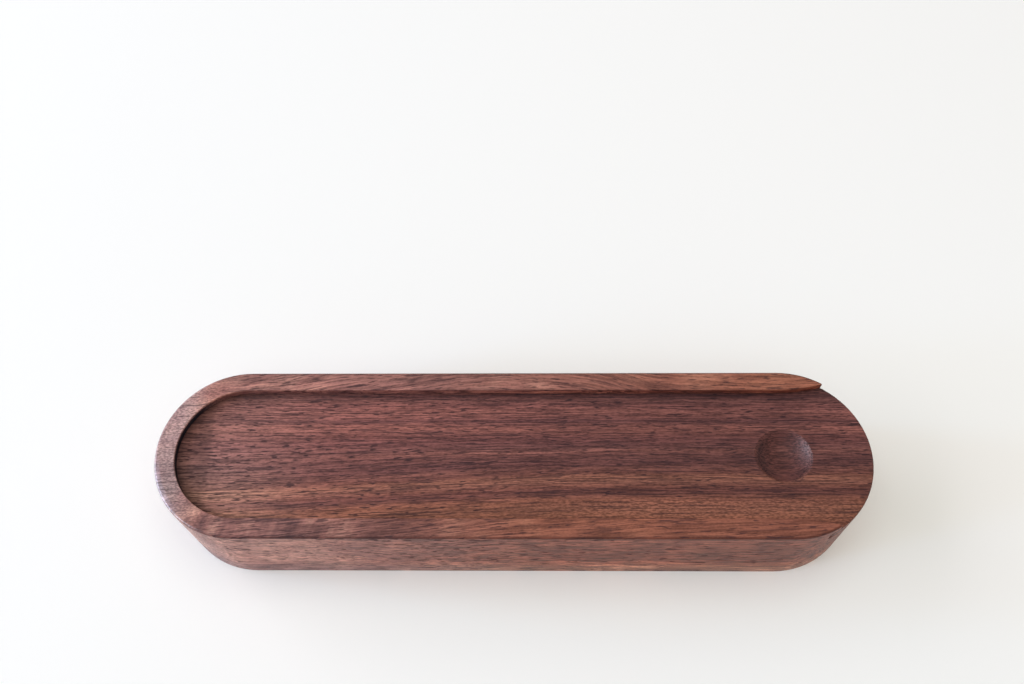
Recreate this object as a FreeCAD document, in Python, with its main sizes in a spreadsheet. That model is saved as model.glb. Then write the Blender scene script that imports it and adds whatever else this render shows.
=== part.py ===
import FreeCAD, Part
import os

import Sketcher

# Pen tray carved from solid walnut, with a lid that slides in under its rim.
# Lengths are in millimetres. The tray stands on Z = 0, centred on the origin,
# with its length along X. The lid slides out towards +X.

doc = FreeCAD.newDocument("PenTray")

# Driving dimensions

SIZES = [
    ("overall_length", "230", "outside length of the tray"),
    ("overall_width", "56.6", "outside width, also the diameter of the round ends"),
    ("overall_height", "37", "height from the table to the top of the rim"),
    ("rim_width", "6.4", "width of the rim, seen from above"),
    ("lip_thickness", "2.9", "height of the rim that overhangs the lid"),
    ("slot_wall", "3", "wood left outside the slot that the lid runs in"),
    ("pocket_wall", "7.5", "wall round the pocket that holds the pens"),
    ("floor_thickness", "6", "wood left under the pocket"),
    ("pocket_edge_radius", "3", "rounding along the foot of the pocket"),
    ("top_edge_radius", "0.9", "rounding of the outer edge of the rim"),
    ("base_edge_radius", "0.6", "rounding of the edge that meets the table"),
    ("inner_edge_radius", "0.25", "easing of the rim's inner edge and of the ledge's edge"),
    ("tip_flare_radius", "55", "curve by which the rim's two ends run out"),
    ("tip_width", "0.4", "blunt width at the end of each rim tip"),
    ("lid_thickness", "5.4", "thickness of the lid"),
    ("lid_side_play", "0.3", "clearance between the lid and the slot, each side"),
    ("lid_top_play", "0.3", "clearance between the lid and the lip over it"),
    ("lid_edge_radius", "0.5", "rounding of the lid's upper and lower edges"),
    ("dish_diameter", "18.4", "width of the thumb dish at the lid's face"),
    ("dish_depth", "3.6", "depth of the thumb dish"),
    ("dish_edge_radius", "0.4", "rounding where the dish meets the lid's face"),
]

sheet = doc.addObject("Spreadsheet::Sheet", "Sizes")
for row, (alias, value, remark) in enumerate(SIZES, start=1):
    sheet.set(f"A{row}", remark)
    sheet.set(f"B{row}", value)
    sheet.setAlias(f"B{row}", alias)
doc.recompute()

# Sizes that follow from the driving ones

OUTER_RADIUS = "(Sizes.overall_width / 2)"
ARC_CENTRE = f"(Sizes.overall_length / 2 - {OUTER_RADIUS})"
LIP_RADIUS = f"({OUTER_RADIUS} - Sizes.rim_width)"
SLOT_RADIUS = f"({OUTER_RADIUS} - Sizes.slot_wall)"
LID_RADIUS = f"({SLOT_RADIUS} - Sizes.lid_side_play)"
POCKET_RADIUS = f"({OUTER_RADIUS} - Sizes.pocket_wall)"
LIP_UNDERSIDE = "(Sizes.overall_height - Sizes.lip_thickness)"
LID_TOP = f"({LIP_UNDERSIDE} - Sizes.lid_top_play)"
LEDGE = f"({LID_TOP} - Sizes.lid_thickness)"
DISH_BALL = "((Sizes.dish_diameter ^ 2 / 4 + Sizes.dish_depth ^ 2) / (2 * Sizes.dish_depth))"
# A cut runs past the outside of the tray by this much of the outer radius
PAST_OUTSIDE = f"({OUTER_RADIUS} * 1.2)"
# Somewhere on the right round end, a first guess for points that lie on it
ON_ROUND_END = f"({ARC_CENTRE} + {OUTER_RADIUS} * 0.4)"

# Points of a sketch's geometry, its origin and its first axis, as constraints name them
START, END, CENTRE = 1, 2, 3
ORIGIN = (-1, START)
X_AXIS = -1

TOLERANCE = 1e-4


def value_of(expression):
    """Number that an expression of the sheet has now, used for first guesses of sketch points."""
    return float(sheet.evalExpression(expression))


def origin_plane(body, role):
    for feature in body.Origin.OriginFeatures:
        if feature.Role == role:
            return feature
    raise ValueError(f"{body.Name} has no {role}")


def new_sketch(body, name, height):
    """Sketch parallel to the table at the given height."""
    sketch = body.newObject("Sketcher::SketchObject", name)
    sketch.AttachmentSupport = (origin_plane(body, "XY_Plane"), [""])
    sketch.MapMode = "FlatFace"
    sketch.setExpression("AttachmentOffset.Base.z", height)
    return sketch


def line(sketch, x0, y0, x1, y1, construction=False):
    segment = Part.LineSegment(FreeCAD.Vector(x0, y0, 0), FreeCAD.Vector(x1, y1, 0))
    return sketch.addGeometry(segment, construction)


def arc(sketch, x, y, radius, from_degrees, to_degrees):
    circle = Part.Circle(FreeCAD.Vector(x, y, 0), FreeCAD.Vector(0, 0, 1), radius)
    start = FreeCAD.Units.Quantity(f"{from_degrees} deg").getValueAs("rad").Value
    end = FreeCAD.Units.Quantity(f"{to_degrees} deg").getValueAs("rad").Value
    return sketch.addGeometry(Part.ArcOfCircle(circle, start, end), False)


def relate(sketch, kind, *items):
    sketch.addConstraint(Sketcher.Constraint(kind, *items))


def size(sketch, kind, *items, name, expression):
    """Dimension with a name, bound to the sheet."""
    index = sketch.addConstraint(Sketcher.Constraint(kind, *items, value_of(expression)))
    sketch.renameConstraint(index, name)
    sketch.setExpression(f"Constraints.{name}", expression)


def stadium(sketch, radius, centre):
    """Two straight sides joined by half circles, centred on the origin."""
    r, c = value_of(radius), value_of(centre)
    far_side = line(sketch, c, r, -c, r)
    left_end = arc(sketch, -c, 0, r, 90, 270)
    near_side = line(sketch, -c, -r, c, -r)
    right_end = arc(sketch, c, 0, r, -90, 90)
    relate(sketch, "Tangent", far_side, END, left_end, START)
    relate(sketch, "Tangent", left_end, END, near_side, START)
    relate(sketch, "Tangent", near_side, END, right_end, START)
    relate(sketch, "Tangent", right_end, END, far_side, START)
    relate(sketch, "Symmetric", left_end, CENTRE, right_end, CENTRE, *ORIGIN)
    relate(sketch, "Horizontal", far_side)
    size(sketch, "Radius", right_end, name="EndRadius", expression=radius)
    size(sketch, "DistanceX", *ORIGIN, right_end, CENTRE, name="ArcCentre", expression=centre)


def round_left_end(sketch, radius, sides_end):
    """Half circle at the left, on the tray's own arc centre, and both straight sides.

    sides_end is the first guess of where the sides end. What follows them in the sketch settles it.
    """
    r, c = value_of(radius), value_of(ARC_CENTRE)
    far_side = line(sketch, sides_end, r, -c, r)
    left_end = arc(sketch, -c, 0, r, 90, 270)
    near_side = line(sketch, -c, -r, sides_end, -r)
    relate(sketch, "Tangent", far_side, END, left_end, START)
    relate(sketch, "Tangent", left_end, END, near_side, START)
    relate(sketch, "Horizontal", far_side)
    relate(sketch, "Horizontal", near_side)
    relate(sketch, "Symmetric", far_side, START, near_side, END, X_AXIS)
    size(sketch, "Radius", left_end, name="EndRadius", expression=radius)
    size(sketch, "DistanceX", left_end, CENTRE, *ORIGIN, name="ArcCentre", expression=ARC_CENTRE)
    return far_side, near_side


def open_right_end(sketch, far_edge, near_edge):
    """Close a cut past the right end. It steps out where the wood beside it is one tip width thick.

    far_edge and near_edge are (geometry, point) of the two places where the step starts.
    """
    c, r, w = value_of(ARC_CENTRE), value_of(OUTER_RADIUS), value_of(PAST_OUTSIDE)
    outline = sketch.addGeometry(
        Part.Circle(FreeCAD.Vector(c, 0, 0), FreeCAD.Vector(0, 0, 1), r), True
    )
    size(sketch, "Radius", outline, name="OutlineRadius", expression=OUTER_RADIUS)
    size(sketch, "DistanceX", *ORIGIN, outline, CENTRE, name="OutlineCentre", expression=ARC_CENTRE)
    relate(sketch, "PointOnObject", outline, CENTRE, X_AXIS)

    tip = sketch.getPoint(*far_edge)
    tip_face = line(sketch, tip.x, tip.y, tip.x, tip.y + value_of("Sizes.tip_width"), True)
    relate(sketch, "Coincident", tip_face, START, *far_edge)
    relate(sketch, "Vertical", tip_face)
    relate(sketch, "PointOnObject", tip_face, END, outline)
    size(sketch, "DistanceY", tip_face, START, tip_face, END, name="TipWidth", expression="Sizes.tip_width")

    far_step = line(sketch, tip.x, tip.y, tip.x, w)
    far_run = line(sketch, tip.x, w, c + w, w)
    end = line(sketch, c + w, w, c + w, -w)
    near_run = line(sketch, c + w, -w, tip.x, -w)
    near_step = line(sketch, tip.x, -w, tip.x, -tip.y)
    relate(sketch, "Coincident", far_step, START, *far_edge)
    relate(sketch, "Coincident", far_step, END, far_run, START)
    relate(sketch, "Coincident", far_run, END, end, START)
    relate(sketch, "Coincident", end, END, near_run, START)
    relate(sketch, "Coincident", near_run, END, near_step, START)
    relate(sketch, "Coincident", near_step, END, *near_edge)
    for step in (far_step, near_step):
        relate(sketch, "Vertical", step)
    for level in (far_run, near_run):
        relate(sketch, "Horizontal", level)
    relate(sketch, "Symmetric", end, START, end, END, X_AXIS)
    size(sketch, "DistanceY", *ORIGIN, end, START, name="PastSide", expression=PAST_OUTSIDE)
    size(sketch, "DistanceX", outline, CENTRE, end, START, name="PastEnd", expression=PAST_OUTSIDE)


def pad(body, name, sketch, length):
    feature = body.newObject("PartDesign::Pad", name)
    feature.Profile = sketch
    feature.setExpression("Length", length)
    doc.recompute()
    return feature


def pocket(body, name, sketch, depth):
    """Cut downwards from the sketch, and make sure that it took wood away."""
    before = body.Shape.Volume
    feature = body.newObject("PartDesign::Pocket", name)
    feature.Profile = sketch
    feature.setExpression("Length", depth)
    doc.recompute()
    if not body.Shape.Volume < before:
        raise RuntimeError(f"{name} cuts nothing")
    return feature


def level_edges(shape, height, half_width=None):
    """Names of the edges that lie flat at one height, and no further than half_width from Y = 0."""
    names = []
    for number, edge in enumerate(shape.Edges, start=1):
        box = edge.BoundBox
        level = abs(box.ZMin - height) < TOLERANCE and abs(box.ZMax - height) < TOLERANCE
        beside = half_width is None or max(-box.YMin, box.YMax) < half_width + TOLERANCE
        if level and beside:
            names.append(f"Edge{number}")
    return names


def fillet(body, name, base, edges, radius):
    feature = body.newObject("PartDesign::Fillet", name)
    feature.Base = (base, edges)
    feature.setExpression("Radius", radius)
    doc.recompute()
    return feature


def make_tray_body():
    body = doc.addObject("PartDesign::Body", "TrayBody")
    body.Label = "tray_body"

    outline = new_sketch(body, "Outline", "0")
    stadium(outline, OUTER_RADIUS, ARC_CENTRE)
    block = pad(body, "Block", outline, "Sizes.overall_height")

    height = value_of("Sizes.overall_height")
    rim_edges = level_edges(block.Shape, height)
    top_round = fillet(body, "TopRound", block, rim_edges, "Sizes.top_edge_radius")
    base_edges = level_edges(top_round.Shape, 0)
    fillet(body, "BaseRound", top_round, base_edges, "Sizes.base_edge_radius")

    # Slot for the lid, from the lip's underside down to the ledge, open at the right
    slot_plan = new_sketch(body, "SlotPlan", LIP_UNDERSIDE)
    far_side, near_side = round_left_end(slot_plan, SLOT_RADIUS, value_of(ON_ROUND_END))
    open_right_end(slot_plan, (far_side, START), (near_side, END))
    pocket(body, "LidSlot", slot_plan, f"{LIP_UNDERSIDE} - {LEDGE}")

    # Opening in the rim, whose sides flare out to the tips
    opening_plan = new_sketch(body, "OpeningPlan", "Sizes.overall_height")
    far_side, near_side = round_left_end(opening_plan, LIP_RADIUS, value_of(ARC_CENTRE))
    size(
        opening_plan, "DistanceX", *ORIGIN, far_side, START, name="FlareStart", expression=ARC_CENTRE
    )
    c, r = value_of(ARC_CENTRE), value_of(LIP_RADIUS)
    flare = value_of("Sizes.tip_flare_radius")
    far_flare = arc(opening_plan, c, r + flare, flare, 270, 285)
    near_flare = arc(opening_plan, c, -r - flare, flare, 75, 90)
    relate(opening_plan, "Tangent", far_side, START, far_flare, START)
    relate(opening_plan, "Tangent", near_side, END, near_flare, END)
    relate(opening_plan, "Symmetric", far_flare, END, near_flare, START, X_AXIS)
    size(
        opening_plan, "Radius", far_flare, name="FlareRadius", expression="Sizes.tip_flare_radius"
    )
    open_right_end(opening_plan, (far_flare, END), (near_flare, START))
    rim_opening = pocket(body, "RimOpening", opening_plan, "Sizes.lip_thickness")
    inner_edges = level_edges(rim_opening.Shape, height, value_of(LIP_RADIUS))
    fillet(body, "RimInnerRound", rim_opening, inner_edges, "Sizes.inner_edge_radius")

    # Pocket for the pens, with a rounded foot and an eased edge at the ledge
    pocket_plan = new_sketch(body, "PocketPlan", LEDGE)
    stadium(pocket_plan, POCKET_RADIUS, ARC_CENTRE)
    pen_pocket = pocket(body, "PenPocket", pocket_plan, f"{LEDGE} - Sizes.floor_thickness")
    floor_edges = level_edges(pen_pocket.Shape, value_of("Sizes.floor_thickness"))
    pocket_foot = fillet(body, "PocketFoot", pen_pocket, floor_edges, "Sizes.pocket_edge_radius")
    ledge_edges = level_edges(pocket_foot.Shape, value_of(LEDGE), value_of(POCKET_RADIUS))
    fillet(body, "LedgeRound", pocket_foot, ledge_edges, "Sizes.inner_edge_radius")
    return body


def make_sliding_lid():
    body = doc.addObject("PartDesign::Body", "SlidingLid")
    body.Label = "sliding_lid"

    plan = new_sketch(body, "LidPlan", LEDGE)
    far_side, near_side = round_left_end(plan, LID_RADIUS, value_of(ON_ROUND_END))
    c, r = value_of(ARC_CENTRE), value_of(OUTER_RADIUS)
    right_end = arc(plan, c, 0, r, -62, 62)
    relate(plan, "Coincident", near_side, END, right_end, START)
    relate(plan, "Coincident", right_end, END, far_side, START)
    size(plan, "Radius", right_end, name="OuterRadius", expression=OUTER_RADIUS)
    size(plan, "DistanceX", *ORIGIN, right_end, CENTRE, name="OuterCentre", expression=ARC_CENTRE)
    board = pad(body, "Board", plan, "Sizes.lid_thickness")

    edges = level_edges(board.Shape, value_of(LID_TOP)) + level_edges(board.Shape, value_of(LEDGE))
    fillet(body, "EdgeRound", board, edges, "Sizes.lid_edge_radius")

    # Thumb dish, a slice of a ball, over the centre of the round end
    before = body.Shape.Volume
    dish = body.newObject("PartDesign::SubtractiveSphere", "ThumbDish")
    dish.AttachmentSupport = (origin_plane(body, "XY_Plane"), [""])
    dish.MapMode = "FlatFace"
    dish.setExpression("Radius", DISH_BALL)
    dish.setExpression("AttachmentOffset.Base.x", ARC_CENTRE)
    dish.setExpression("AttachmentOffset.Base.z", f"{LID_TOP} + {DISH_BALL} - Sizes.dish_depth")
    doc.recompute()
    if not body.Shape.Volume < before:
        raise RuntimeError("ThumbDish cuts nothing")
    dish_edges = level_edges(dish.Shape, value_of(LID_TOP), value_of("Sizes.dish_diameter / 2"))
    fillet(body, "DishRound", dish, dish_edges, "Sizes.dish_edge_radius")
    return body


def check_and_write(bodies):
    doc.recompute()
    for item in doc.Objects:
        if "Invalid" in item.State or "Error" in item.State:
            raise RuntimeError(f"{item.Label} failed: {item.State}")
    for body in bodies:
        if body.Shape.isNull() or not body.Shape.isValid():
            raise RuntimeError(f"{body.Label} has no valid shape")
        if len(body.Shape.Solids) != 1:
            raise RuntimeError(f"{body.Label} is {len(body.Shape.Solids)} solids")
    os.makedirs("parts", exist_ok=True)
    for body in bodies:
        body.Shape.exportStep(os.path.join("parts", body.Label + ".step"))
        box = body.Shape.optimalBoundingBox()
        print(
            f"{body.Label}: {box.XLength:.2f} x {box.YLength:.2f} x {box.ZLength:.2f} mm,"
            f" from Z {box.ZMin:.2f} to {box.ZMax:.2f}, {body.Shape.Volume / 1000:.2f} cm3"
        )


check_and_write([make_tray_body(), make_sliding_lid()])
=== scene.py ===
import math

import bpy
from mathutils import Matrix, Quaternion, Vector


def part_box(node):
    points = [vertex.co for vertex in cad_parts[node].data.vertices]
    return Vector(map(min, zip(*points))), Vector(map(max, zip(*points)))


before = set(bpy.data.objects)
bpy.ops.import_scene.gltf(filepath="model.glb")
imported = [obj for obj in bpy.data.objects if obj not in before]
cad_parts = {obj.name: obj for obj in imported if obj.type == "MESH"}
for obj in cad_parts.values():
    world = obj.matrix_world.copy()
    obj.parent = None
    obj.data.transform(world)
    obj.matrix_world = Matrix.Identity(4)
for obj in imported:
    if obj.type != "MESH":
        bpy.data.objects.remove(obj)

# Pen tray carved from solid walnut, with a lid that slides in under its rim.
# The frame is in metres; the grain is worked out in millimetres.

scene = bpy.context.scene
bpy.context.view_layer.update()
trayLow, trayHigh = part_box("tray_body")
lidLow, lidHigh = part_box("sliding_lid")
millimetre = 0.001
white = (1.0, 1.0, 1.0, 1.0)


def linear(red, green, blue):  # a colour written as 0 to 255 in sRGB
    steps = [value / 255 for value in (red, green, blue)]
    return [s / 12.92 if s <= 0.04045 else ((s + 0.055) / 1.055) ** 2.4 for s in steps] + [1.0]


# Small helpers for node trees: a socket given as an input is linked, a number or colour is set

nodeLayout = {"columns": 9, "right": 220, "down": -260}


def addNode(tree, kind, title, inputs=None, **settings):
    made = tree.nodes.new(kind)
    made.label = title
    row, column = divmod(len(tree.nodes), nodeLayout["columns"])
    made.location = (nodeLayout["right"] * column, nodeLayout["down"] * row)
    for name, value in settings.items():
        setattr(made, name, value)
    for key, value in (inputs or {}).items():
        if isinstance(value, bpy.types.NodeSocket):
            tree.links.new(value, made.inputs[key])
        else:
            made.inputs[key].default_value = value
    return made


def calculate(tree, title, operation, *values):
    return addNode(
        tree, "ShaderNodeMath", title, dict(enumerate(values)), operation=operation
    ).outputs[0]


def multiply(tree, title, first, *others):  # masks multiplied are 1 only where all of them are
    for other in others:
        first = calculate(tree, title, "MULTIPLY", first, other)
    return first


def opposite(tree, title, mask):
    return calculate(tree, title, "SUBTRACT", 1.0, mask)


def swing(tree, title, noisy, depth, level):  # the level, made lighter or darker by a noise
    centred = calculate(tree, "light or dark", "MULTIPLY_ADD", noisy, 2.0, -1.0)
    return calculate(tree, title, "MULTIPLY_ADD", centred, depth, level)


def stretch(tree, title, position, scales):
    return addNode(
        tree, "ShaderNodeVectorMath", title, {0: position, 1: scales}, operation="MULTIPLY"
    ).outputs[0]


def distance(tree, title, position, middle=(0, 0, 0)):
    return addNode(
        tree, "ShaderNodeVectorMath", title, {0: position, 1: middle}, operation="DISTANCE"
    ).outputs["Value"]


def separate(tree, title, position):
    return addNode(tree, "ShaderNodeSeparateXYZ", title, {0: position}).outputs


def noise(tree, title, position, detail=2.0, roughness=0.5):
    return addNode(
        tree, "ShaderNodeTexNoise", title,
        {"Vector": position, "Scale": 1.0, "Detail": detail, "Roughness": roughness},
    ).outputs


def fade(tree, title, value, start, end, low=0.0, high=1.0):  # soft step from low to high
    return addNode(
        tree, "ShaderNodeMapRange", title,
        {0: value, 1: start, 2: end, 3: low, 4: high}, interpolation_type="SMOOTHSTEP",
    ).outputs[0]


def mixColour(tree, title, factor, first, second, blend="MIX"):
    return addNode(
        tree, "ShaderNodeMix", title, {0: factor, 6: first, 7: second},
        data_type="RGBA", blend_type=blend, clamp_factor=True,
    ).outputs[2]


def blendValues(tree, title, factor, first, second):
    return addNode(tree, "ShaderNodeMix", title, {0: factor, 2: first, 3: second}).outputs[0]


def colourRamp(tree, title, value, stops):  # stops: a place from 0 to 1 and a colour in sRGB
    ramp = addNode(tree, "ShaderNodeValToRGB", title, {0: value})
    elements = ramp.color_ramp.elements
    while len(elements) < len(stops):
        elements.new(0.5)
    for element, (place, colour) in zip(elements, stops):
        element.position = place
        element.color = linear(*colour)
    return ramp.outputs[0]


def newGroup(name, inputs, outputs):
    tree = bpy.data.node_groups.new(name, "ShaderNodeTree")
    for title, kind, value in inputs:
        socket = tree.interface.new_socket(name=title, in_out="INPUT", socket_type=kind)
        if value is not None:
            socket.default_value = value
    for title, kind in outputs:
        tree.interface.new_socket(name=title, in_out="OUTPUT", socket_type=kind)
    return tree, tree.nodes.new("NodeGroupInput").outputs, tree.nodes.new("NodeGroupOutput").inputs


def useGroup(tree, group, title, inputs):
    return addNode(tree, "ShaderNodeGroup", title, inputs, node_tree=group)


# Wood grain shared by the two boards; all of it is in millimetres

def stretchAlongGrain(tree, given):  # long cells that lie along the board
    along = calculate(tree, "one over length", "DIVIDE", 1.0, given["Length"])
    across = calculate(tree, "one over width", "DIVIDE", 1.0, given["Width"])
    scales = addNode(tree, "ShaderNodeCombineXYZ", "scales", {0: along, 1: across, 2: across})
    return stretch(tree, "stretched place", given["Flow"], scales.outputs[0])


def makeGrainFlow():  # the way the fibres wander, so that every pattern follows them
    tree, given, result = newGroup(
        "grainFlow",
        [
            ("Flow", "NodeSocketVector", None),
            ("Wander", "NodeSocketFloat", 3.0),
            ("Length", "NodeSocketFloat", 90.0),
            ("Width", "NodeSocketFloat", 18.0),
        ],
        [("Flow", "NodeSocketVector")],
    )
    slow = noise(tree, "wander", stretchAlongGrain(tree, given))
    centred = addNode(
        tree, "ShaderNodeVectorMath", "centred", {0: slow["Color"], 1: (0.5, 0.5, 0.5)},
        operation="SUBTRACT",
    )
    sideways = stretch(tree, "sideways only", centred.outputs[0], (0.0, 2.0, 2.0))
    moved = addNode(
        tree, "ShaderNodeVectorMath", "moved", {0: sideways, "Scale": given["Wander"]}, operation="SCALE"
    )
    flow = addNode(
        tree, "ShaderNodeVectorMath", "flow", {0: given["Flow"], 1: moved.outputs[0]}, operation="ADD"
    )
    tree.links.new(flow.outputs[0], result["Flow"])
    return tree


streakValues = {"detail": 3.0, "roughness": 0.6, "spread": (0.33, 0.67)}


def makeGrainStreaks():  # light and dark lines along the fibres, from 0 to 1
    tree, given, result = newGroup(
        "grainStreaks",
        [
            ("Flow", "NodeSocketVector", None),
            ("Length", "NodeSocketFloat", 40.0),
            ("Width", "NodeSocketFloat", 0.9),
        ],
        [("Streaks", "NodeSocketFloat")],
    )
    place = stretchAlongGrain(tree, given)
    lines = noise(tree, "lines", place, streakValues["detail"], streakValues["roughness"])[0]
    tree.links.new(fade(tree, "spread", lines, *streakValues["spread"]), result["Streaks"])
    return tree


poreValues = {
    "detail": 1.0,
    "roughness": 0.4,
    "limit": (0.72, 0.50),  # a pore starts here in the noise, for the least and the largest amount
    "softness": 0.12,
}


def makeGrainPores():  # short dark dashes, the open vessels of walnut, as a mask
    tree, given, result = newGroup(
        "grainPores",
        [
            ("Flow", "NodeSocketVector", None),
            ("Length", "NodeSocketFloat", 9.0),
            ("Width", "NodeSocketFloat", 0.7),
            ("Amount", "NodeSocketFloat", 0.5),
        ],
        [("Pores", "NodeSocketFloat")],
    )
    place = stretchAlongGrain(tree, given)
    vessels = noise(tree, "vessels", place, poreValues["detail"], poreValues["roughness"])[0]
    start = fade(tree, "where a pore starts", given["Amount"], 0.0, 1.0, *poreValues["limit"])
    full = calculate(tree, "where it is full", "ADD", start, poreValues["softness"])
    tree.links.new(fade(tree, "pore mask", vessels, start, full), result["Pores"])
    return tree


def makeEndGrain():  # where the surface cuts across the fibres, as a mask
    tree, given, result = newGroup(
        "endGrain",
        [("Start", "NodeSocketFloat", 0.3), ("Full", "NodeSocketFloat", 0.75)],
        [("End Grain", "NodeSocketFloat")],
    )
    facing = addNode(tree, "ShaderNodeTexCoord", "facing").outputs["Normal"]
    along = separate(tree, "along the fibres", facing)[0]
    either = calculate(tree, "either way", "ABSOLUTE", along)
    mask = fade(tree, "end grain", either, given["Start"], given["Full"])
    tree.links.new(mask, result["End Grain"])
    return tree


granuleValues = {"detail": 1.0, "roughness": 0.5, "spread": (0.3, 0.7)}


def makeGranules():  # fine light and dark grit, longer along the fibres, from 0 to 1
    tree, given, result = newGroup(
        "woodGranules",
        [
            ("Flow", "NodeSocketVector", None),
            ("Length", "NodeSocketFloat", 1.6),
            ("Width", "NodeSocketFloat", 0.55),
        ],
        [("Granules", "NodeSocketFloat")],
    )
    place = stretchAlongGrain(tree, given)
    grit = noise(tree, "grit", place, granuleValues["detail"], granuleValues["roughness"])[0]
    tree.links.new(fade(tree, "spread", grit, *granuleValues["spread"]), result["Granules"])
    return tree


grainFlow = makeGrainFlow()
grainStreaks = makeGrainStreaks()
grainPores = makeGrainPores()
endGrain = makeEndGrain()
woodGranules = makeGranules()
print("grain node groups made")


def newMaterial(name):
    material = bpy.data.materials.new(name)
    material.use_nodes = True
    material.node_tree.nodes.clear()
    return material


def woodPosition(tree):  # the wood's own coordinates, in millimetres
    place = addNode(tree, "ShaderNodeTexCoord", "place")
    return stretch(tree, "in millimetres", place.outputs["Object"], [1 / millimetre] * 3)


def shiftAcross(tree, position, across):  # moves the pattern across the board
    offset = addNode(tree, "ShaderNodeCombineXYZ", "offset", {1: across})
    return addNode(
        tree, "ShaderNodeVectorMath", "shifted", {0: position, 1: offset.outputs[0]}, operation="SUBTRACT"
    ).outputs[0]


fibreWaves = {"Wander": 0.35, "Length": 7.0, "Width": 2.5}  # small waves on top of the slow ones


def wanderFibres(tree, position, wander):
    slow = useGroup(tree, grainFlow, "slow fibres", {"Flow": position, "Wander": wander}).outputs[0]
    return useGroup(tree, grainFlow, "small waves", {"Flow": slow, **fibreWaves}).outputs[0]


def pattern(tree, group, flow, walnut, name, **more):  # a grain pattern with the values of that name
    return useGroup(tree, group, name, {"Flow": flow, **walnut[name], **more}).outputs[0]


def multiplyTone(tree, title, colour, factor, low, high):
    tone = mixColour(tree, title, factor, low, high)
    return mixColour(tree, title, 1.0, colour, tone, "MULTIPLY")


def tint(tree, colour, walnut, places):  # places: the name of a tone and the mask of where it goes
    for name, where in places.items():
        colour = multiplyTone(tree, name, colour, where, white, walnut[name])
    return colour


oiledWood = {"IOR": 1.45, "Specular IOR Level": 0.22, "Coat Roughness": 0.25, "Coat IOR": 1.5}
poreRelief = {"Strength": 0.2, "Distance": 0.0002}


def finishWalnut(tree, flow, colour, masks, walnut):  # lines, grit, pores and end grain on a colour
    broad = pattern(tree, grainStreaks, flow, walnut, "broadLines")
    fine = pattern(tree, grainStreaks, flow, walnut, "fineLines")
    grit = pattern(tree, woodGranules, flow, walnut, "granules")
    wood = multiplyTone(tree, "broad tone", colour, broad, *walnut["broadTones"])
    lined = multiplyTone(tree, "line tone", wood, fine, *walnut["lineTones"])
    gritty = multiplyTone(tree, "grit tone", wood, grit, *walnut["gritTones"])
    wood = mixColour(tree, "granular", masks["granular"], lined, gritty)

    amount = masks["pores"]
    longAmount = multiply(tree, "amount of long dashes", amount, walnut["longShare"])
    shortDashes = pattern(tree, grainPores, flow, walnut, "dashes", Amount=amount)
    longDashes = pattern(tree, grainPores, flow, walnut, "longDashes", Amount=longAmount)
    threads = pattern(tree, grainPores, flow, walnut, "threads")
    thin = multiply(tree, "thin threads", threads, walnut["threadDepth"])
    dashes = calculate(tree, "all dashes", "MAXIMUM", shortDashes, longDashes)
    pores = calculate(tree, "all pores", "MAXIMUM", dashes, thin)
    poreTone = multiply(tree, "pore tone", pores, walnut["poreDepth"])
    wood = mixColour(tree, "pores set in", poreTone, wood, walnut["poreColour"])
    # end grain, with painted shade on the dish's left side and on the walls of the recess
    wood = tint(tree, wood, walnut, {"endGrainAndShadeTone": masks["ends"]})

    rough = fade(tree, "roughness", pores, 0.0, 1.0, *walnut["roughness"])
    height = multiply(tree, "height", pores, -1.0)
    relief = addNode(tree, "ShaderNodeBump", "relief", {"Height": height, **poreRelief}).outputs[0]
    shader = addNode(
        tree, "ShaderNodeBsdfPrincipled", "oiled walnut",
        {
            "Base Color": wood, "Roughness": rough, "Normal": relief,
            "Coat Weight": masks["polish"], **oiledWood,
        },
    )
    addNode(tree, "ShaderNodeOutputMaterial", "output", {0: shader.outputs[0]})


def alongTray(place):  # share of the tray's length, for a place in millimetres
    return place * millimetre / (trayHigh.x - trayLow.x) + 0.5


def shareBetween(tree, title, value, low, high):  # 0 at low and 1 at high
    return addNode(tree, "ShaderNodeMapRange", title, {0: value, 1: low, 2: high}).outputs[0]


def shareOfLength(tree, along):
    low, high = trayLow.x / millimetre, trayHigh.x / millimetre
    return shareBetween(tree, "share of the length", along, low, high)


def valueCurve(tree, title, share, stops):  # a smooth value that changes along the tray
    highest = max(value for place, value in stops)
    curve = addNode(tree, "ShaderNodeFloatCurve", title, {"Value": share})
    points = curve.mapping.curves[0].points
    while len(points) < len(stops):
        points.new(0.5, 0.5)
    for point, (place, value) in zip(points, stops):
        point.location = (alongTray(place), value / highest)
    curve.mapping.update()
    return calculate(tree, title, "MULTIPLY", curve.outputs[0], highest)


def insideOutline(tree, x, y):  # millimetres inwards from the tray's outline, seen from above
    radius = (trayHigh.y - trayLow.y) / 2 / millimetre
    straight = (trayHigh.x - trayLow.x) / 2 / millimetre - radius
    along = calculate(tree, "either end", "ABSOLUTE", x)
    past = calculate(tree, "past the straight part", "SUBTRACT", along, straight)
    rounding = calculate(tree, "in a round end", "MAXIMUM", past, 0.0)
    place = addNode(tree, "ShaderNodeCombineXYZ", "from the middle line", {0: rounding, 1: y})
    reach = distance(tree, "distance", place.outputs[0])
    return calculate(tree, "inside the outline", "SUBTRACT", radius, reach)


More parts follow.
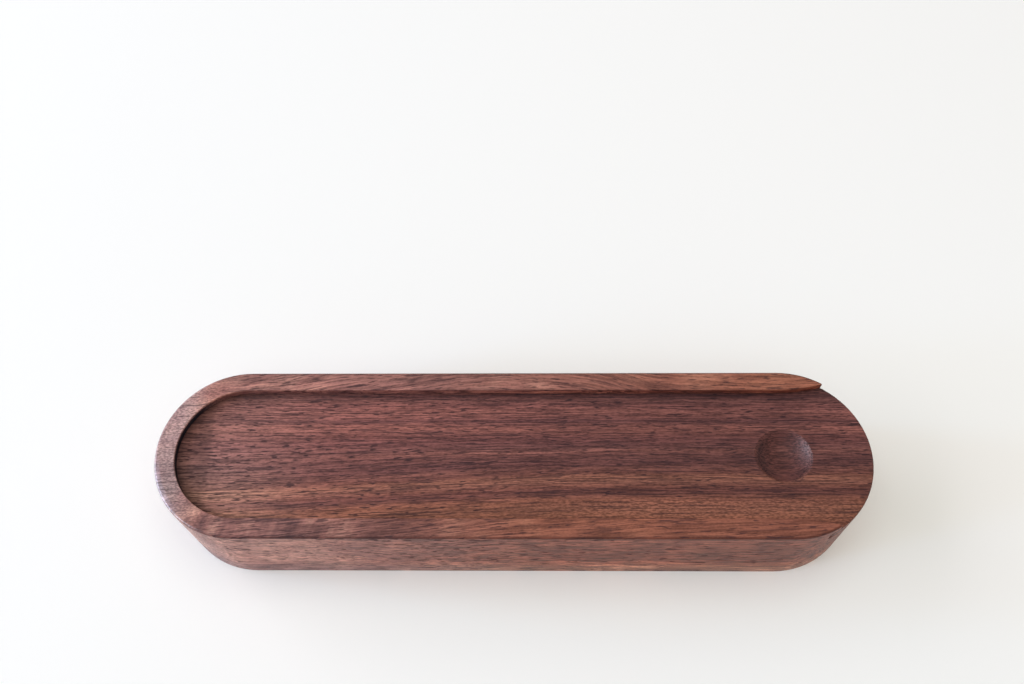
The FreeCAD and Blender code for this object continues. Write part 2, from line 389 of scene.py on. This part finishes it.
lidWalnut = {
    "zones": [  # colour across the board: millimetres from its middle line, then sRGB
        (-25.0, (116, 62, 48)),
        (-20.5, (134, 80, 60)),
        (-17.0, (133, 80, 61)),
        (-14.5, (128, 75, 58)),
        (-12.4, (98, 56, 50)),
        (-11.2, (105, 59, 52)),
        (-10.0, (120, 70, 58)),
        (-8.6, (132, 81, 66)),
        (-7.2, (134, 82, 65)),
        (-5.8, (114, 66, 57)),
        (-4.2, (110, 65, 58)),
        (-2.6, (100, 58, 55)),
        (-0.8, (97, 57, 54)),
        (0.6, (104, 61, 57)),
        (1.5, (122, 73, 66)),
        (2.6, (107, 64, 60)),
        (5.0, (109, 63, 60)),
        (7.0, (106, 61, 57)),
        (8.2, (113, 66, 60)),
        (9.4, (130, 76, 68)),
        (10.8, (118, 69, 63)),
        (12.0, (96, 56, 55)),
        (13.2, (117, 68, 63)),
        (15.5, (122, 72, 66)),
        (17.5, (122, 71, 66)),
        (19.5, (112, 67, 62)),
        # the dark zones from here to the far edge are partly painted shade under the far rim
        (21.0, (84, 49, 48)),
        (22.6, (92, 54, 51)),
        (25.0, (98, 58, 55)),
    ],
    "leftPart": (-60.0, -92.0),
    "climb": (-105.0, 30.0, -5.6, 0.0),  # the lines climb this much from the left end to the middle
    "climbAcross": (11.0, -12.0, 0.0, 1.0),  # all of it near the front edge, none near the back
    "evenColour": linear(122, 73, 66),  # the lines are fainter at the left
    "evenShare": (-45.0, -85.0, 0.0, 0.2),
    "toneAndPaintedLight": [  # along the board, in millimetres from its middle; partly the wood's tone, partly painted sheen that lightens the left part and painted shadow of the left wall before the step near -97
        (-115, 0.9), (-105, 1.06), (-100.5, 1.0), (-96.5, 1.66), (-92, 1.66), (-84, 1.52),
        (-60, 1.34), (-20, 1.12), (20, 0.94), (60, 0.83), (115, 0.88),
    ],
    "frontBrightness": [  # times this in the golden strip near the front edge
        (-115, 0.96), (-60, 0.9), (-20, 0.76), (15, 0.87), (60, 1.24), (90, 1.16), (115, 1.0),
    ],
    "frontStrip": (-13.0, -15.5),  # where that strip is
    "leftTilt": (-10.0, 21.0, 1.12, 0.75),  # the left part darkens towards the back
    "rightTilt": (-16.0, 12.0, 0.84, 1.12),  # and the right end towards the front
    "rightTiltReach": (90.0, 106.0),
    "leftTint": (1.0, 1.09, 1.04, 1.0),  # the left part is less red towards the front
    "leftTintAcross": (2.0, -8.0),
    "paintedWallShade": (6.2, 9.4, 0.66, 1.0),  # and darker where it meets the wall of the recess: painted shadow of that wall
    # painted sheen: the left part is greyer, less saturated
    "paintedSheenSaturation": (-105.0, -50.0, 0.84, 0.94),
    "wander": 0.9,
    "dishMiddle": (86.7, 0.0),
    "dishReach": (9.6, 8.9),
    "dishDepth": (0.1, 1.2),
    "dishColour": linear(109, 64, 59),  # the grain is fainter inside the dish
    "dishShare": 0.88,
    "paintedDishShade": (0.93, 0.91, 0.92, 1.0),  # which is a little darker too: painted shade in the hollow
    "dishPores": 0.5,
    "shadedDishSides": (2.5, 6.5),  # and darker still towards its near and far side: painted shade
    "paintedDishSideShade": (0.8, 0.78, 0.8, 1.0),
    "broadLines": {"Length": 90.0, "Width": 4.0},
    "broadTones": ((0.88, 0.88, 0.90, 1.0), (1.14, 1.13, 1.10, 1.0)),
    "fineLines": {"Length": 16.0, "Width": 0.5},
    "lineTones": ((0.46, 0.44, 0.46, 1.0), (1.77, 1.77, 1.75, 1.0)),
    "granules": {"Length": 1.3, "Width": 0.42},
    "gritTones": ((0.6, 0.6, 0.61, 1.0), (1.55, 1.55, 1.55, 1.0)),
    "granular": 0.4,
    "stripGranular": 0.85,  # the golden strip is speckled and has few dashes
    "stripPores": 0.35,
    "stripAlong": (-30.0, 30.0),
    "pores": (-105.0, 50.0, 0.7, 0.62),  # many dashes at the left, fewer at the right
    "dashes": {"Length": 3.6, "Width": 0.36},
    "longDashes": {"Length": 9.0, "Width": 0.6},
    "longShare": 0.45,
    "threads": {"Length": 20.0, "Width": 0.36, "Amount": 0.8},
    "threadDepth": 0.7,
    "poreDepth": 0.87,
    "poreColour": linear(44, 26, 30),
    "endGrain": {"Start": 0.05, "Full": 0.7},
    "endGrainAndShadeTone": (0.43, 0.44, 0.49, 1.0),  # the steep sides of the dish are dark: end grain, and painted shade where they face away from the window
    "endAlong": (89.5, 94.0, 1.0, 0.25),  # less so at its right, which faces the window
    "endNear": (-2.5, -5.0, 0.25, 1.0),  # but as much at its near right
    "paintedDishHighlight": (90.5, 94.0),  # painted highlight: the rest of its right side is lighter and bluer, as the window's reflection
    "paintedDishHighlightTone": (1.15, 1.38, 1.55, 1.0),
    "roughness": (0.42, 0.65),
}


def makeLidWalnut():
    material = newMaterial("lidWalnut")
    tree = material.node_tree
    position = woodPosition(tree)
    x, y, z = separate(tree, "axes", position)
    depth = calculate(tree, "below the face", "SUBTRACT", lidHigh.z / millimetre, z)
    atLeft = fade(tree, "left part", x, *lidWalnut["leftPart"])

    # Lines along the board
    climb = multiply(
        tree, "climb",
        fade(tree, "climb along", x, *lidWalnut["climb"]),
        fade(tree, "climb across", y, *lidWalnut["climbAcross"]),
    )
    flow = wanderFibres(tree, shiftAcross(tree, position, climb), lidWalnut["wander"])
    across = separate(tree, "across the board", flow)[1]
    low, high = lidLow.y / millimetre, lidHigh.y / millimetre
    share = shareBetween(tree, "share of the width", across, low, high)
    zones = [((place - low) / (high - low), colour) for place, colour in lidWalnut["zones"]]
    lines = colourRamp(tree, "zones", share, zones)
    even = fade(tree, "fainter lines", x, *lidWalnut["evenShare"])
    colour = mixColour(tree, "evened", even, lines, lidWalnut["evenColour"])

    fromAbove = stretch(tree, "seen from above", position, (1, 1, 0))
    reach = distance(tree, "from the dish's middle", fromAbove, (*lidWalnut["dishMiddle"], 0))
    inDish = multiply(
        tree, "in the dish",
        fade(tree, "within reach", reach, *lidWalnut["dishReach"]),
        fade(tree, "deep enough", depth, *lidWalnut["dishDepth"]),
    )
    faint = multiply(tree, "fainter in the dish", inDish, lidWalnut["dishShare"])
    colour = mixColour(tree, "evened in the dish", faint, colour, lidWalnut["dishColour"])

    # Light and dark along the board, partly painted sheen and painted shade
    length = shareOfLength(tree, x)
    strip = fade(tree, "front strip", across, *lidWalnut["frontStrip"])
    front = valueCurve(tree, "front brightness", length, lidWalnut["frontBrightness"])
    leftTilt = fade(tree, "front to back", y, *lidWalnut["leftTilt"])
    rightTilt = fade(tree, "back to front", y, *lidWalnut["rightTilt"])
    atRight = fade(tree, "right end", x, *lidWalnut["rightTiltReach"])
    paintedWallShade = fade(tree, "by the wall", insideOutline(tree, x, y), *lidWalnut["paintedWallShade"])
    toneAndPaintedLight = multiply(
        tree, "value",
        valueCurve(tree, "toneAndPaintedLight", length, lidWalnut["toneAndPaintedLight"]),
        blendValues(tree, "in the strip", strip, 1.0, front),
        blendValues(tree, "tilt at the left", atLeft, 1.0, leftTilt),
        blendValues(tree, "tilt at the right", atRight, 1.0, rightTilt),
        blendValues(tree, "shade at the left", atLeft, 1.0, paintedWallShade),
    )
    paintedSheenSaturation = fade(tree, "paintedSheenSaturation", x, *lidWalnut["paintedSheenSaturation"])
    colour = addNode(
        tree, "ShaderNodeHueSaturation", "along the board",
        {"Color": colour, "Value": toneAndPaintedLight, "Saturation": paintedSheenSaturation},
    ).outputs[0]

    # Tones of the left part and of the dish, with painted shade and a painted highlight in the dish
    frontLeft = multiply(tree, "front left", atLeft, fade(tree, "front", y, *lidWalnut["leftTintAcross"]))
    sideways = calculate(tree, "to either side", "ABSOLUTE", y)
    shadedDishSide = multiply(
        tree, "sides of the dish", inDish, fade(tree, "side", sideways, *lidWalnut["shadedDishSides"])
    )
    cut = useGroup(tree, endGrain, "end grain", lidWalnut["endGrain"]).outputs[0]
    cutInDish = multiply(tree, "cut in the dish", cut, inDish)
    nearPart = fade(tree, "near part of the dish", y, *lidWalnut["endNear"])
    leftSide = fade(tree, "left part of the dish", x, *lidWalnut["endAlong"])
    darkPart = calculate(tree, "dark part", "MAXIMUM", leftSide, nearPart)
    highlightPart = multiply(
        tree, "painted highlight part", cutInDish,
        fade(tree, "right of the dish", x, *lidWalnut["paintedDishHighlight"]),
        opposite(tree, "not the near part", nearPart),
    )
    places = {
        "leftTint": frontLeft, "paintedDishShade": inDish, "paintedDishSideShade": shadedDishSide, "paintedDishHighlightTone": highlightPart,
    }
    colour = tint(tree, colour, lidWalnut, places)

    speckled = multiply(tree, "speckled", strip, fade(tree, "right part", x, *lidWalnut["stripAlong"]))
    masks = {
        "granular": blendValues(
            tree, "granular", speckled, lidWalnut["granular"], lidWalnut["stripGranular"]
        ),
        "pores": multiply(
            tree, "amount of dashes",
            fade(tree, "dashes along the lid", x, *lidWalnut["pores"]),
            blendValues(tree, "fewer in the dish", inDish, 1.0, lidWalnut["dishPores"]),
            blendValues(tree, "few in the strip", speckled, 1.0, lidWalnut["stripPores"]),
        ),
        "ends": multiply(tree, "end grain in the dish", cutInDish, darkPart),
        "polish": 0.0,
    }
    finishWalnut(tree, flow, colour, masks, lidWalnut)
    return material


trayWalnut = {
    "nearToFar": (-6.0, 6.0),
    "belowRim": (0.4, 1.2),  # the walls start this far under the top face
    "innerFrom": (1.5, 2.5),  # and the inner ones this far in from the outline
    "tones": [  # figure of the wood at the left, from dark to light
        (0.0, (72, 48, 50)),
        (0.35, (108, 74, 72)),
        (0.65, (142, 98, 92)),
        (1.0, (176, 132, 120)),
    ],
    "warmTones": [  # the same at the right, which is more orange
        (0.0, (80, 46, 40)),
        (0.35, (112, 66, 54)),
        (0.65, (138, 85, 68)),
        (1.0, (160, 105, 83)),
    ],
    "nearWarmth": (-80.0, 20.0),
    "farWarmth": (-60.0, 108.0),
    "farFigure": [  # how light the far rim is, along the tray
        (-115, 0.55), (-92, 0.74), (-60, 0.62), (-22, 0.57), (0, 0.67), (22, 0.62), (48, 0.62),
        (64, 0.72), (115, 0.68),
    ],
    "nearFigure": [  # the same for the near rim
        (-115, 0.77), (-110, 0.75), (-104, 0.69), (-98, 0.66), (-86, 0.72), (-67, 0.36), (-54, 0.76),
        (-38, 0.44), (-18, 0.68), (2, 0.66), (30, 0.58), (60, 0.54), (115, 0.5),
    ],
    "wallFigure": [  # and for the upper part of the outer wall
        (-115, 0.77), (-85, 0.82), (-68, 0.84), (-42, 0.61), (-10, 0.56), (20, 0.4), (60, 0.38),
        (115, 0.42),
    ],
    "footFigure": [  # and its lower part
        (-115, 0.64), (-85, 0.68), (-60, 0.7), (-40, 0.66), (-10, 0.72), (20, 0.74), (60, 0.8),
        (115, 0.72),
    ],
    "footHeight": (15.0, 7.0),
    "shadedInnerFigure": [  # the walls of the recess are dark: painted shade
        (-115, 0.35), (-75, 0.35), (-40, 0.46), (0, 0.56), (40, 0.5), (85, 0.42), (115, 0.4),
    ],
    "blotches": (0.09, 0.14, 0.14),  # soft patches all over
    "blotchDepth": 0.35,
    "curl": (0.25, 0.06, 0.06),  # bands across the near rim
    "curlSlant": 0.35,
    "curlReach": (-44.0, -56.0, 0.0, 0.7),
    "curlEnd": (-106.0, -98.0),
    "farLift": [  # slope of the fibres, as millimetres that they rise across
        (-115, 4.0), (-90, 6.0), (-40, 14.0), (12, 18.0), (55, 10.0), (115, 11.0),
    ],
    "nearLift": [(-115, 4.0), (-90, 6.0), (-40, 11.0), (12, 17.0), (55, 20.0), (115, 21.0)],
    "wander": 2.0,
    "wallTint": (1.10, 0.95, 0.85, 1.0),  # the wall is more yellow at the right
    "wallTintReach": (-70.0, 50.0, 0.35, 1.0),
    "footTint": (1.0, 1.4, 1.66, 1.0),  # greyer along its foot
    "footTintHeight": (11.0, 3.0),
    "footTintReach": (-70.0, 0.0, 0.42, 1.0),
    "paintedWallSheen": (1.08, 1.27, 1.32, 1.0),  # paler and greyer around its left end: painted sheen
    "paintedWallSheenReach": (-88.0, -108.0),
    "wallBand": (1.17, 1.2, 1.2, 1.0),  # and has a light band half way up its left part
    "wallBandTop": (30.0, 23.0),
    "wallBandFoot": (7.0, 13.0),
    "wallBandAlong": (-8.0, -50.0),
    "poresOnWall": 1.05,  # share of the dashes on the wall
    "poresOnFoot": 0.62,
    "wallPoresAlong": (-65.0, -20.0, 0.72, 1.0),  # which gets smaller towards both ends
    "wallPoresEnd": (82.0, 102.0, 1.0, 0.45),
    "innerStrip": (1.3, 1.28, 1.26, 1.0),  # the inner half of the far rim is lighter at the left
    "innerStripAcross": (25.6, 24.0),
    "innerStripAlong": (-22.0, -42.0),
    "wallStretch": (1.0, 1.0, 0.6),  # the lines of the walls are further apart
    "wallLines": {"Length": 45.0, "Width": 0.9},
    "wallLineTones": ((0.6, 0.58, 0.58, 1.0), (1.5, 1.5, 1.5, 1.0)),
    "wallLineReach": (-70.0, 0.0, 0.2, 1.0),  # and stronger to the right
    "paintedSheenEnd": (-98.0, -109.0),  # painted sheen: the rim is paler and greyer around its left end
    "paintedSheenTone": (1.02, 1.38, 1.61, 1.0),
    "broadLines": {"Length": 90.0, "Width": 4.0},
    "broadTones": ((0.86, 0.86, 0.88, 1.0), (1.16, 1.15, 1.12, 1.0)),
    "fineLines": {"Length": 18.0, "Width": 0.7},
    "lineTones": ((0.54, 0.52, 0.54, 1.0), (1.6, 1.6, 1.58, 1.0)),
    "granules": {"Length": 0.9, "Width": 0.43},
    "gritTones": ((0.66, 0.66, 0.68, 1.0), (1.45, 1.45, 1.43, 1.0)),
    "granular": (-88.0, -104.0, 0.3, 1.0),  # grit instead of lines at the left end
    "pores": (-110.0, 60.0, 0.8, 0.6),
    "poresAtEnd": (-102.0, -90.0),  # no dashes there
    "dashes": {"Length": 4.5, "Width": 0.5},
    "longDashes": {"Length": 9.0, "Width": 0.7},
    "longShare": 0.5,
    "threads": {"Length": 20.0, "Width": 0.5, "Amount": 0.6},
    "threadDepth": 0.6,
    "poreDepth": 0.75,
    "poreColour": linear(52, 32, 36),
    "endGrain": {"Start": 0.3, "Full": 0.8},
    # end grain and painted shade: the inner walls of the recess are nearly black where the fibres end
    "endGrainAndShadeTone": (0.07, 0.13, 0.22, 1.0),
    "paintedShadeHeight": (33.0, 33.9, 0.45, 1.0),  # painted shade: above the lid it is darkest
    "paintedEdgeHighlight": (1.28, 1.48, 1.68, 1.0),  # painted highlight: the edge at the near left is paler and bluer, as the window's reflection on it
    "paintedHighlightInside": (2.4, 1.1),
    "paintedHighlightAcross": (0.0, -9.0),
    "paintedHighlightEnd": (-15.0, -22.0, 1.0, 0.0),
    "edgeTone": (0.5, 0.42, 0.42, 1.0),  # elsewhere the rounded edge is dark
    "edgeWidth": (1.0, 0.2),
    "edgeDepth": (1.3, 0.7),
    "roughness": (0.42, 0.65),
    "polishReach": (-92.0, -102.0),  # the edge shines at the left end
    "polish": 0.6,
}


def makeTrayWalnut():
    material = newMaterial("trayWalnut")
    tree = material.node_tree
    position = woodPosition(tree)
    x, y, z = separate(tree, "axes", position)
    length = shareOfLength(tree, x)
    inside = insideOutline(tree, x, y)
    depth = calculate(tree, "under the top", "SUBTRACT", trayHigh.z / millimetre, z)
    side = fade(tree, "near to far", y, *trayWalnut["nearToFar"])
    below = fade(tree, "rim to wall", depth, *trayWalnut["belowRim"])
    onRim = opposite(tree, "rim only", below)
    inner = fade(tree, "outer to inner wall", inside, *trayWalnut["innerFrom"])
    foot = fade(tree, "foot of the wall", z, *trayWalnut["footHeight"])
    leftEdge = fade(tree, "polished end", x, *trayWalnut["polishReach"])

    def curve(name):
        return valueCurve(tree, name, length, trayWalnut[name])

    # Slope of the fibres and figure of the wood, from dark to light
    spread = stretch(tree, "wall lines apart", position, trayWalnut["wallStretch"])
    lift = blendValues(tree, "slope", side, curve("nearLift"), curve("farLift"))
    flow = wanderFibres(tree, shiftAcross(tree, spread, lift), trayWalnut["wander"])

    slanted = addNode(
        tree, "ShaderNodeVectorRotate", "slanted", {"Vector": position, "Angle": trayWalnut["curlSlant"]},
        rotation_type="Z_AXIS",
    ).outputs[0]
    curls = noise(tree, "curls", stretch(tree, "curl place", slanted, trayWalnut["curl"]))[0]
    curlHere = multiply(
        tree, "curl at the near left",
        fade(tree, "from the middle", x, *trayWalnut["curlReach"]),
        fade(tree, "to the end", x, *trayWalnut["curlEnd"]),
        opposite(tree, "near side", side),
    )
    rim = blendValues(tree, "rim figure", side, curve("nearFigure"), curve("farFigure"))
    curled = swing(tree, "curled", curls, curlHere, rim)
    outer = blendValues(tree, "outer wall", foot, curve("wallFigure"), curve("footFigure"))
    wall = blendValues(tree, "both walls", inner, outer, curve("shadedInnerFigure"))
    figure = blendValues(tree, "figure", below, curled, wall)
    blotches = noise(tree, "blotches", stretch(tree, "blotch place", flow, trayWalnut["blotches"]))[0]
    figured = swing(tree, "figured", blotches, trayWalnut["blotchDepth"], figure)

    cool = colourRamp(tree, "tones", figured, trayWalnut["tones"])
    warm = colourRamp(tree, "warm tones", figured, trayWalnut["warmTones"])
    warmth = blendValues(
        tree, "warmth", side,
        fade(tree, "warmer near rim", x, *trayWalnut["nearWarmth"]),
        fade(tree, "warmer far rim", x, *trayWalnut["farWarmth"]),
    )
    colour = mixColour(tree, "cool to warm", warmth, cool, warm)

    # Tones of the walls and of the far rim, with painted sheen at the wall's left end
    places = {
        "wallTint": multiply(
            tree, "yellow wall", below, fade(tree, "yellow to the right", x, *trayWalnut["wallTintReach"])
        ),
        "footTint": multiply(
            tree, "grey foot", below,
            fade(tree, "low", z, *trayWalnut["footTintHeight"]),
            fade(tree, "more at the right", x, *trayWalnut["footTintReach"]),
        ),
        "paintedWallSheen": multiply(
            tree, "painted sheen on the wall", below, fade(tree, "end of the wall", x, *trayWalnut["paintedWallSheenReach"])
        ),
        "wallBand": multiply(
            tree, "band half way up", below,
            fade(tree, "not too high", z, *trayWalnut["wallBandTop"]),
            fade(tree, "over the foot", z, *trayWalnut["wallBandFoot"]),
            fade(tree, "band at the left", x, *trayWalnut["wallBandAlong"]),
        ),
        "innerStrip": multiply(
            tree, "inner strip of the far rim", side,
            fade(tree, "inner half", y, *trayWalnut["innerStripAcross"]),
            fade(tree, "left half", x, *trayWalnut["innerStripAlong"]),
        ),
    }
    colour = tint(tree, colour, trayWalnut, places)
    lines = pattern(tree, grainStreaks, flow, trayWalnut, "wallLines")
    ruled = multiplyTone(tree, "wall line tone", colour, lines, *trayWalnut["wallLineTones"])
    lined = multiply(tree, "lined wall", below, fade(tree, "more lines", x, *trayWalnut["wallLineReach"]))
    colour = mixColour(tree, "lines on the wall", lined, colour, ruled)

    # Tones of the rim's left end and of its edge: painted sheen at the end, a painted highlight on the edge
    # there, and a darker edge elsewhere
    edge = multiply(
        tree, "rounded edge",
        fade(tree, "near the outline", inside, *trayWalnut["edgeWidth"]),
        fade(tree, "near the top", depth, *trayWalnut["edgeDepth"]),
    )
    places = {
        "paintedSheenTone": multiply(
            tree, "painted sheen at the rim's end", onRim, fade(tree, "left end", x, *trayWalnut["paintedSheenEnd"])
        ),
        "paintedEdgeHighlight": multiply(
            tree, "painted edge highlight", onRim, leftEdge,
            fade(tree, "painted highlight width", inside, *trayWalnut["paintedHighlightInside"]),
            fade(tree, "from the end", y, *trayWalnut["paintedHighlightAcross"]),
            fade(tree, "to the side", y, *trayWalnut["paintedHighlightEnd"]),
        ),
        "edgeTone": multiply(tree, "dark edge", edge, opposite(tree, "not left", leftEdge)),
    }
    colour = tint(tree, colour, trayWalnut, places)

    cut = useGroup(tree, endGrain, "end grain", trayWalnut["endGrain"]).outputs[0]
    onWall = multiply(
        tree, "dashes on the wall",
        blendValues(tree, "wall or foot", foot, trayWalnut["poresOnWall"], trayWalnut["poresOnFoot"]),
        fade(tree, "fewer at the left", x, *trayWalnut["wallPoresAlong"]),
        fade(tree, "fewer at the right end", x, *trayWalnut["wallPoresEnd"]),
    )
    masks = {
        "granular": fade(tree, "granular left end", x, *trayWalnut["granular"]),
        "pores": multiply(
            tree, "amount of dashes",
            fade(tree, "fewer to the right", x, *trayWalnut["pores"]),
            fade(tree, "none at the left end", x, *trayWalnut["poresAtEnd"]),
            blendValues(tree, "rim or wall", below, 1.0, onWall),
        ),
        "ends": multiply(
            tree, "end grain inside", cut, inner, below,
            fade(tree, "above the lid", z, *trayWalnut["paintedShadeHeight"]),
        ),
        "polish": multiply(tree, "polish", edge, leftEdge, trayWalnut["polish"]),
    }
    finishWalnut(tree, flow, colour, masks, trayWalnut)
    return material


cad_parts["sliding_lid"].data.materials[0] = makeLidWalnut()
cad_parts["tray_body"].data.materials[0] = makeTrayWalnut()
print("walnut on the tray and the lid")


# Floor, light and camera

floorValues = {
    "halfWidth": 6.0,
    "colour": (0.95, 0.95, 0.95, 1.0),
    "roughness": 0.9,
    "whiteFrom": (0.7, 2.0),  # far out it turns white, as the backdrop is
    "backdropHeight": 3.0,
    "backdropSides": 96,
}
skyValues = {"ambient": 0.405, "colour": (1.0, 0.86, 0.82, 1.0)}
lampValues = {
    "overhead": {
        "azimuth": 290.0, "elevation": 82.0, "distance": 3.0, "size": (3.0, 3.0), "power": 46.2,
        "colour": (0.91, 1.0, 0.89), "inGloss": False,
    },
    "wideWindow": {
        "azimuth": 172.0, "elevation": 28.0, "distance": 2.6, "size": (3.4, 1.95), "power": 43.0,
        "colour": (0.96, 0.92, 1.0), "inGloss": False,
    },
    "frontWindow": {
        "azimuth": 196.0, "elevation": 18.0, "distance": 2.0, "size": (0.26, 0.4), "power": 6.0,
        "colour": (0.3, 0.55, 1.0), "inGloss": False,
    },
    "backWindow": {
        "azimuth": 173.5, "elevation": 17.0, "distance": 2.0, "size": (0.26, 0.4), "power": 7.5,
        "colour": (0.3, 0.68, 1.0), "inGloss": False,
    },
    "windowSheen": {  # what the wood mirrors of the windows
        "azimuth": 186.0, "elevation": 27.0, "distance": 2.0, "size": (1.8, 1.2), "power": 98.0,
        "colour": (0.72, 0.84, 1.0), "inGloss": True, "inDiffuse": False,
    },
}
cameraValues = {
    "lens": 36.15,
    "sensor": 36.0,
    "clip": (0.01, 50.0),
    "target": (-0.00146, 0.05929, 0.0),
    "distance": 0.38832,
    "elevation": 62.085,
    "azimuth": -87.282,
    "roll": -2.543,
}


def towards(azimuth, elevation):  # azimuth 0 is +X and 90 is +Y
    turn, rise = math.radians(azimuth), math.radians(elevation)
    return Vector((math.cos(turn) * math.cos(rise), math.sin(turn) * math.cos(rise), math.sin(rise)))


def showWhite(tree, seenAs, share):  # white where the camera or a reflection sees it, lighting nothing
    rays = addNode(tree, "ShaderNodeLightPath", "rays").outputs
    seen = calculate(tree, "camera or gloss", "MAXIMUM", rays["Is Camera Ray"], rays["Is Glossy Ray"])
    shown = calculate(tree, "or transmission", "MAXIMUM", seen, rays["Is Transmission Ray"])
    glow = addNode(tree, "ShaderNodeEmission", "white", {"Color": white, "Strength": 1.0}).outputs[0]
    mixed = addNode(
        tree, "ShaderNodeMixShader", "shown or not",
        {0: multiply(tree, "share shown", shown, share), 1: seenAs, 2: glow},
    ).outputs[0]
    addNode(tree, "ShaderNodeOutputMaterial", "output", {0: mixed})


def makeFloor():
    bpy.ops.object.select_all(action="DESELECT")
    bpy.ops.mesh.primitive_plane_add(size=2 * floorValues["halfWidth"], location=(0, 0, 0))
    floor = bpy.context.object
    floor.name = "floor"
    material = newMaterial("paleFloor")
    tree = material.node_tree
    shader = addNode(
        tree, "ShaderNodeBsdfPrincipled", "pale floor",
        {
            "Base Color": floorValues["colour"], "Roughness": floorValues["roughness"],
            "Specular IOR Level": 0.0,
        },
    ).outputs[0]
    place = addNode(tree, "ShaderNodeTexCoord", "place").outputs["Object"]
    reach = distance(tree, "from the middle", place)
    showWhite(tree, shader, fade(tree, "far out", reach, *floorValues["whiteFrom"]))
    floor.data.materials.append(material)


def makeBackdrop():  # a white wall all round that lights nothing, seen directly and in gloss
    height = floorValues["backdropHeight"]
    bpy.ops.object.select_all(action="DESELECT")
    bpy.ops.mesh.primitive_cylinder_add(
        vertices=floorValues["backdropSides"], radius=floorValues["halfWidth"], depth=height,
        end_fill_type="NOTHING", location=(0, 0, height / 2),
    )
    backdrop = bpy.context.object
    backdrop.name = "backdrop"
    material = newMaterial("whiteBackdrop")
    tree = material.node_tree
    clear = addNode(tree, "ShaderNodeBsdfTransparent", "clear").outputs[0]
    showWhite(tree, clear, 1.0)
    backdrop.data.materials.append(material)


def makeSky():
    world = bpy.data.worlds.new("studio")
    scene.world = world
    world.use_nodes = True
    tree = world.node_tree
    tree.nodes.clear()
    sky = addNode(
        tree, "ShaderNodeBackground", "sky", {"Color": skyValues["colour"], "Strength": skyValues["ambient"]}
    )
    addNode(tree, "ShaderNodeOutputWorld", "output", {0: sky.outputs[0]})


def makeLamp(name):
    values = lampValues[name]
    light = bpy.data.lights.new(name, "AREA")
    light.shape = "RECTANGLE"
    light.size, light.size_y = values["size"]
    light.energy = values["power"]
    light.color = values["colour"]
    lamp = bpy.data.objects.new(name, light)
    scene.collection.objects.link(lamp)
    back = towards(values["azimuth"], values["elevation"])
    lamp.location = back * values["distance"]
    lamp.rotation_mode = "QUATERNION"
    lamp.rotation_quaternion = back.to_track_quat("Z", "Y")
    lamp.visible_glossy = values["inGloss"]
    lamp.visible_diffuse = values.get("inDiffuse", True)


def makeCamera():
    data = bpy.data.cameras.new("camera")
    data.lens = cameraValues["lens"]
    data.sensor_width = cameraValues["sensor"]
    data.clip_start, data.clip_end = cameraValues["clip"]
    camera = bpy.data.objects.new("camera", data)
    scene.collection.objects.link(camera)
    back = towards(cameraValues["azimuth"], cameraValues["elevation"])
    camera.location = Vector(cameraValues["target"]) + back * cameraValues["distance"]
    camera.rotation_mode = "QUATERNION"
    roll = Quaternion((0, 0, 1), math.radians(cameraValues["roll"]))
    camera.rotation_quaternion = back.to_track_quat("Z", "Y") @ roll
    scene.camera = camera


makeFloor()
makeBackdrop()
makeSky()
for lampName in lampValues:
    makeLamp(lampName)
makeCamera()
scene.view_settings.view_transform = "Standard"
print("floor, light and camera set")
